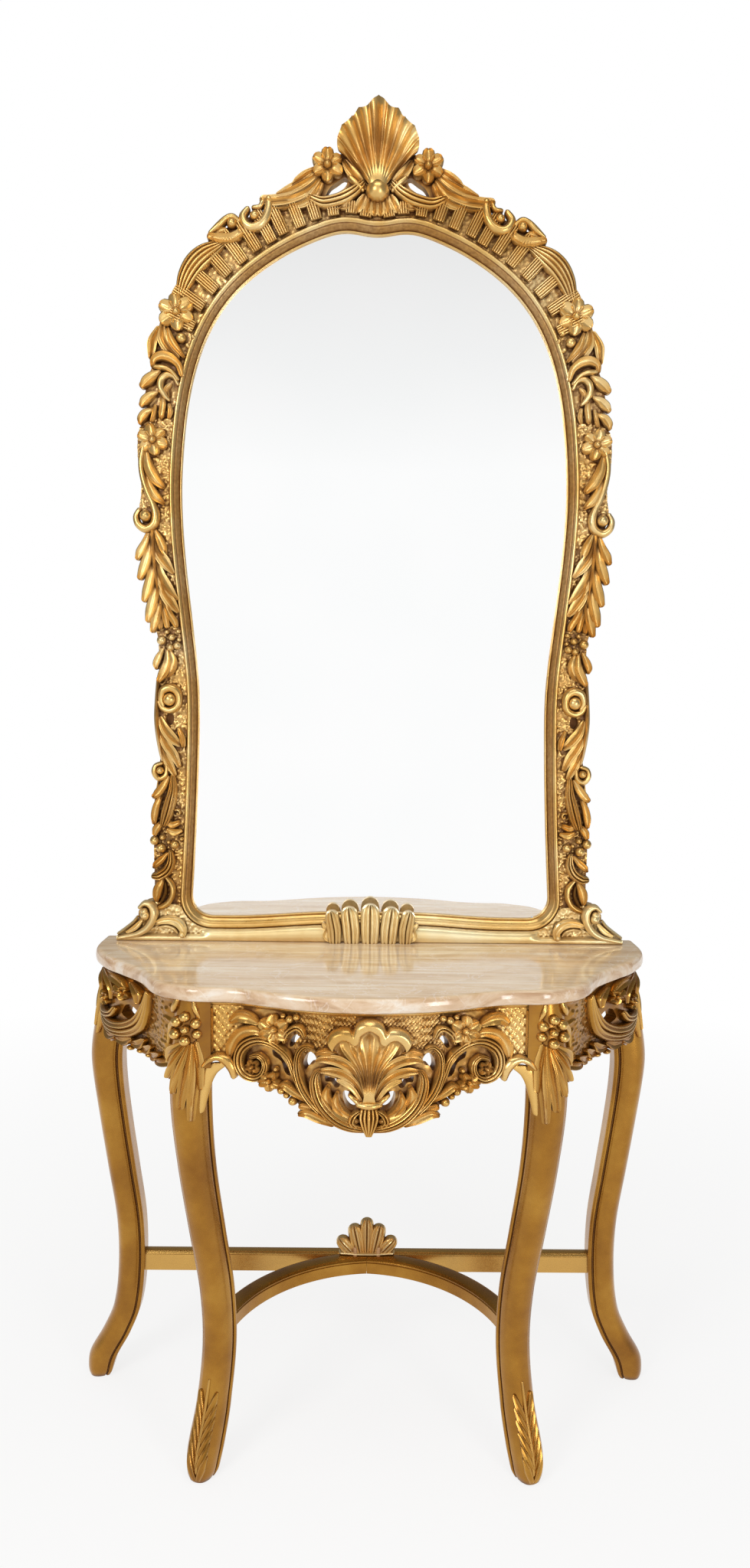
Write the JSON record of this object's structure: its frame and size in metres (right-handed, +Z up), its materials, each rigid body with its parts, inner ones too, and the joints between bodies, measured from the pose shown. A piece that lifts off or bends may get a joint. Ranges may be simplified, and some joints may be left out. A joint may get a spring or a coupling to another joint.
{
  "type": "console table with mirror",
  "caption": "Carved and gilded console table on cabriole legs with a serpentine marble top, and a tall arched mirror in a carved frame standing on it.",
  "frame": {"origin": "on the floor, under the middle of the overall box", "axes": "+Z up, +Y towards the wall behind, +X to the right as seen from the front"},
  "size_m": [1.003, 0.4, 2.2],
  "materials": {
    "marble": "polished cream marble",
    "gilding": "carved wood, gold leaf over gesso, satin",
    "dark_gilding": "carved wood, antiqued gold paint, satin",
    "bare_wood": "bare wood",
    "mirror": "silvered glass",
    "steel": "zinc plated"
  },
  "bodies": {
    "root": {"marble_top": "marble", "front_apron": "dark_gilding", "apron_shell": "gilding", "left_apron": "dark_gilding", "right_apron": "dark_gilding", "rear_rail": "bare_wood", "front_left_leg": "dark_gilding", "front_right_leg": "dark_gilding", "rear_left_leg": "dark_gilding", "rear_right_leg": "dark_gilding", "apron_dowels": "bare_wood", "corner_blocks": "bare_wood", "corner_screws": "steel", "rear_stretcher": "dark_gilding", "left_stretcher": "dark_gilding", "right_stretcher": "dark_gilding", "stretcher_shell": "gilding", "stretcher_dowels": "bare_wood", "left_stile": "gilding", "right_stile": "gilding", "left_arch": "gilding", "right_arch": "gilding", "base_rail": "gilding", "frame_dowels": "bare_wood", "crest_shell": "gilding", "base_shell": "gilding", "sight_moulding": "gilding", "mirror_glass": "mirror", "backboard": "bare_wood", "backboard_screws": "steel", "left_batten": "bare_wood", "right_batten": "bare_wood", "batten_screws": "steel"}
  },
  "joints": []
}
